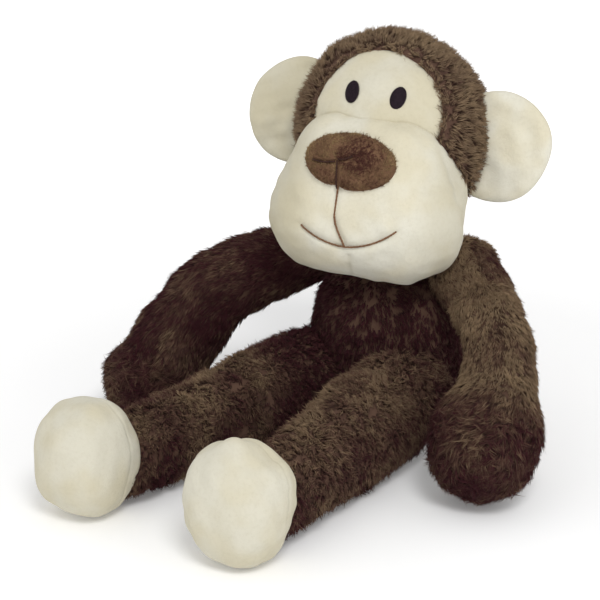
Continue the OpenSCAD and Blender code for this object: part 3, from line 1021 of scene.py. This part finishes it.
def nostril_strokes():
    """The stitched lines on the nose: down the middle, and a short bowed one to each side."""
    middle = np.linspace(0, 1, 30)
    strokes = [(-6.3 + 1.2 * middle, 0.5 - middle * 17)]
    strokes.append((-7.5 - 14.5 * middle, -0.4 - 0.9 * np.sin(middle * math.pi) - 0.8 * middle))
    strokes.append((-6.2 + 9.0 * middle, 1.2 + 3.0 * middle - 0.8 * np.sin(middle * math.pi)))
    return strokes


def nostril_distance(x, y):
    """How far places on the nose are from the stitched lines."""
    best = np.full(len(x), 99.0)
    for stroke_x, stroke_y in nostril_strokes():
        gaps = np.hypot(x[:, None] - stroke_x[None], y[:, None] - stroke_y[None])
        best = np.minimum(best, gaps.min(1))
    return best


# ---- stitches

THREAD_SIDES = 8
STITCH_POINTS = 14
EYE_WIDE = 9.8
EYE_HIGH = 11.3


def thread(line, radius, twist):
    """Points, triangles and quads of a thin closed tube along a line, pinched at both ends."""
    _, across, third = path_frames(line)
    turn = full_turn(THREAD_SIDES)
    thin = np.full(len(line), radius)
    thin[0] = thin[-1] = radius * 0.05
    ribs = 1 + twist * np.sin(np.arange(len(line)) * 1.1)
    around = across[:, None] * np.cos(turn)[None, :, None] + third[:, None] * np.sin(turn)[None, :, None]
    points, _, caps, quads = closed_skin(line[:, None] + around * (thin * ribs)[:, None, None])
    return points, caps, quads


def join_threads(name, lines, radius, body, material, *nodes, slot="brown_thread", twist=0.12):
    """One object of a thread along each line."""
    points, triangles, quads = [], [], []
    base = 0
    for line in lines:
        tube, caps, sides = thread(line, radius, twist)
        points.append(tube)
        triangles.append(caps + base)
        quads.append(sides + base)
        base += len(tube)
    piece = make_mesh(name, np.concatenate(points), [np.concatenate(triangles), np.concatenate(quads)])
    place(piece, body, slot, material, None, *nodes)


def stitches(line, out, length, dip):
    """Cuts a line of points into stitches whose ends dip into the cloth. out is away from the cloth."""
    run = np.concatenate([[0], np.cumsum(np.linalg.norm(np.diff(line, axis=0), axis=1))])
    count = max(1, round(run[-1] / length))
    result = []
    for number in range(count):
        at = np.linspace(number * run[-1] / count, (number + 1.04) * run[-1] / count, STITCH_POINTS)
        part = np.stack([np.interp(at, run, line[:, axis]) for axis in range(3)], -1)
        sink = dip * (2 * np.linspace(0, 1, STITCH_POINTS) - 1) ** 6
        result.append(part - out * sink[:, None])
    return result


def make_mouth():
    """The smile, the line from the nose to it, and the lines on the nose."""
    out = np.array([0, -1.0, -0.1])
    smile = stitches(smile_line(lift=-0.4), out, 4.2, 0.8)
    philtrum = stitches(philtrum_line(lift=-0.1), out, 4.2, 0.7)
    join_threads("smile_thread", [from_head(line) for line in smile], 0.55, "head", LINE_THREAD,
                 "smile_stitch")
    join_threads("philtrum_thread", [from_head(line) for line in philtrum], 0.6, "head", LINE_THREAD,
                 "nose_stitch")
    lines = []
    for x, y in nostril_strokes():
        dome = nose_dome(np.hypot(x / NOSE_WIDE, y / NOSE_HIGH))
        lines += stitches(nose_place(x, y, dome + 1.1), NOSE_OUT, 4.0, 0.5)
    join_threads("nostril_thread", [from_head(line) for line in lines], 0.55, "head", DARK_THREAD)


def make_eye(name, side):
    """Satin stitch: threads laid side by side across an oval pad."""
    centre_x, centre_z = side * 14.5, 32.8
    lines = []
    count = 25
    for number in range(count):
        share = (number + 0.5) / count * 2 - 1
        half = EYE_WIDE / 2 * math.sqrt(1 - share * share)
        reach = np.linspace(-1, 1, 15) * half
        x = centre_x + reach
        z = np.full(15, centre_z + share * EYE_HIGH / 2)
        y = -np.sqrt((HEAD_R + 0.4) ** 2 - x * x - z * z)
        point = np.stack([x, y, z], -1)
        dome = 1.15 * np.sqrt(np.clip(1 - (reach / (EYE_WIDE / 2)) ** 2 - share * share, 0, 1)) + 0.1
        lines.append(from_head(point + unit(point) * dome[:, None]))
    join_threads("eye_thread_" + name, lines, 0.36, "head", EYE_THREAD, "eye_" + name, slot="eye_thread",
                 twist=0)


def make_back_stitch():
    """The slanting hand stitches that close the slit in the back."""
    heights, radii = torso_profile()
    lines = []
    for z in np.arange(SLIT[0] + 2, SLIT[1], 6.0):
        x = np.linspace(-3.8, 3.8, 12)
        y = np.interp(z, heights[5:-5], radii[5:-5]) + 1.9 - 0.12 * x * x
        lines.append(np.stack([x, y, z + 0.35 * x], -1))
    join_threads("back_closing_thread", lines, 0.7, "torso", LINE_THREAD, "back_closing_stitch")


# ---- ears and feet

EAR_AT = EAR_HINGE + [67, 0, 0]     # the middle of the left ear, from the head's centre
EAR_R = 35
EAR_HALF = 7.8                      # half the thickness in the ear's middle
EAR_TILT = math.radians(14)         # the lower edge of each ear stands forward
FOOT_POWER = 2.25                   # 2 would make the feet round, and more makes them squarer


def make_ear(name, side, seed):
    """A padded disc, fuller in the middle, with a seam round its rim and soft dents towards the head."""
    angle = np.linspace(0, math.pi, 90)[:, None]
    turn = full_turn(160)[None]
    rim = EAR_R * (1 + 0.016 * np.sin(3 * turn + seed) + 0.01 * np.sin(5 * turn))
    across = np.sin(angle) ** 0.8
    x = rim * across * np.cos(turn)
    z = rim * across * np.sin(turn)
    height = EAR_HALF * np.sign(np.cos(angle)) * np.abs(np.cos(angle)) ** 0.62
    hollow = 1.6 * np.exp(-((across - 0.62) / 0.2) ** 2)
    toward_head = smooth_step(0.2, 1.0, -side * np.cos(turn) * across)
    y = -height + np.sign(height) * hollow * (0.4 + toward_head)
    points, _, caps, quads = closed_skin(np.stack([x, y, z], -1))
    groove = np.exp(-(points[:, 1] / 0.7) ** 2) * (np.hypot(points[:, 0], points[:, 2]) > 0.8 * EAR_R)
    points[:, [0, 2]] *= 1 - 0.015 * groove[:, None]
    points[:, 1] += 1.2 * waves(points * [1, 0.2, 1], 16, seed) + 0.4 * waves(points, 6, seed + 1)
    lean = np.array([[1, 0, 0], [0, math.cos(EAR_TILT), math.sin(EAR_TILT)],
                     [0, -math.sin(EAR_TILT), math.cos(EAR_TILT)]])
    points = points @ lean.T + EAR_AT * [side, 1, 1] + [-1.5 * side, -1.5, 2.9 - 2.1 * side]
    # Painted shade: in the seam round the rim, and over the whole ear, much more on the right ear than the
    # left.
    shade = np.maximum(0.5 * groove, 0.4 - 0.3 * side)
    piece = make_mesh("ear_velour_" + name, from_head(points), [caps, quads], {"shade": shade})
    place(piece, "ear_" + name, "cream_velour", VELOUR, 0.6,
          "ear_front_" + name, "ear_back_" + name, "ear_wadding_" + name)


def make_foot(name, seed):
    """A stuffed foot with the seam between its sole and its instep, and wrinkles beside it. The left one is
    pinched to a corner on top and stands a little farther back."""
    low, high = (np.array(corner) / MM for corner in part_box("foot_sole_" + name))
    high[1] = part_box("foot_instep_" + name)[1][1] / MM
    low[2] = 0
    centre = (low + high) / 2
    half = (high - low) / 2
    directions = ball_directions(110, 170, (0, -1, 0))
    size = (np.abs(directions) ** FOOT_POWER).sum(-1, keepdims=True) ** (-1 / FOOT_POWER)
    flat, normals, caps, quads = closed_skin(directions * size * half)
    seam_y = half[1] * (0.2 + 0.12 * flat[:, 2] / half[2])
    seam = np.exp(-((flat[:, 1] - seam_y) / 0.85) ** 2)
    shape = waves(flat, 18, seed) + 0.4 * waves(flat, 7, seed + 1)
    wrinkle = 0.5 * np.maximum(waves(flat * [0.6, 1, 0.6], 8, seed + 2), 0)
    wrinkle *= smooth_step(12, 0, np.abs(flat[:, 1] - seam_y))
    flat = flat + normals * (shape - 0.5 * seam - wrinkle)[:, None]
    if name == "left":
        peak = half * [0.05, -0.25, 0.96]
        pinch = np.exp(-(np.linalg.norm((flat - peak) * [0.8, 0.9, 0.7], axis=1) / 7.5) ** 2)
        beside = np.exp(-(np.linalg.norm((flat - peak - [12, 6, -4]) * [1, 0.5, 0.7], axis=1) / 7) ** 2)
        flat[:, 2] += 4.5 * pinch - 2.5 * beside
        flat[:, 1] += 3.0
    flat += centre
    flat[:, 2] = np.maximum(flat[:, 2], FLOOR)
    # Painted shade: in the seam, and at a lower strength over the whole foot.
    shade = np.maximum(0.55 * seam, 0.4)
    piece = make_mesh("foot_velour_" + name, flat, [caps, quads], {"shade": shade})
    place(piece, "foot_" + name, "cream_velour", VELOUR, 0.85,
          "foot_sole_" + name, "foot_instep_" + name, "foot_stuffing_" + name)


# ---- floor and light

def make_floor():
    """A white floor that glows more the farther it is from the toy, so that it runs out into white."""
    half = 6.0
    data = bpy.data.meshes.new("floor")
    data.from_pydata([(-half, -half, 0), (half, -half, 0), (half, half, 0), (-half, half, 0)], [],
                     [(0, 1, 2, 3)])
    material, tree, shader = new_material("floor_white")
    set_inputs(shader, Base_Color=(0.96, 0.96, 0.96, 1), Roughness=0.9, Specular_IOR_Level=0.1,
               Emission_Color=(1, 1, 1, 1))
    coordinates = tree.nodes.new("ShaderNodeTexCoord")
    away = tree.nodes.new("ShaderNodeVectorMath")
    away.operation = "LENGTH"
    tree.links.new(coordinates.outputs["Object"], away.inputs[0])
    glow = add_node(tree, "ShaderNodeMapRange", From_Min=0.25, From_Max=0.9, To_Min=0.12, To_Max=0.5)
    tree.links.new(away.outputs["Value"], glow.inputs["Value"])
    tree.links.new(glow.outputs["Result"], shader.inputs["Emission Strength"])
    data.materials.append(material)
    add_object("floor", data)


def make_light():
    """One soft lamp, above and to the toy's left of the camera, in a white world."""
    data = bpy.data.lights.new("key", "AREA")
    data.shape = "DISK"
    data.size = 0.7
    data.energy = 17
    lamp = add_object("key", data)
    lamp.location = (1.05, -1.05, 1.6)
    aim = Vector((0, -0.08, 0.12)) - lamp.location
    lamp.rotation_euler = aim.to_track_quat("-Z", "Y").to_euler()
    world = bpy.data.worlds.new("studio")
    world.use_nodes = True
    set_inputs(world.node_tree.nodes["Background"], Color=(1, 1, 1, 1), Strength=0.7)
    bpy.context.scene.world = world
    bpy.context.scene.view_settings.view_transform = "Standard"


# ---- the toy

make_torso()
make_neck()
make_head_plush()
make_face()
make_muzzle()
make_nose()
make_mouth()
make_back_stitch()
for number, (name, side) in enumerate(SIDES):
    make_eye(name, side)
    make_ear(name, side, 100 + number * 10)
    make_arm(name, 200 + number * 50)
    make_leg(name, side, 300 + number * 50)
    make_foot(name, 400 + number * 10)
make_floor()
make_light()
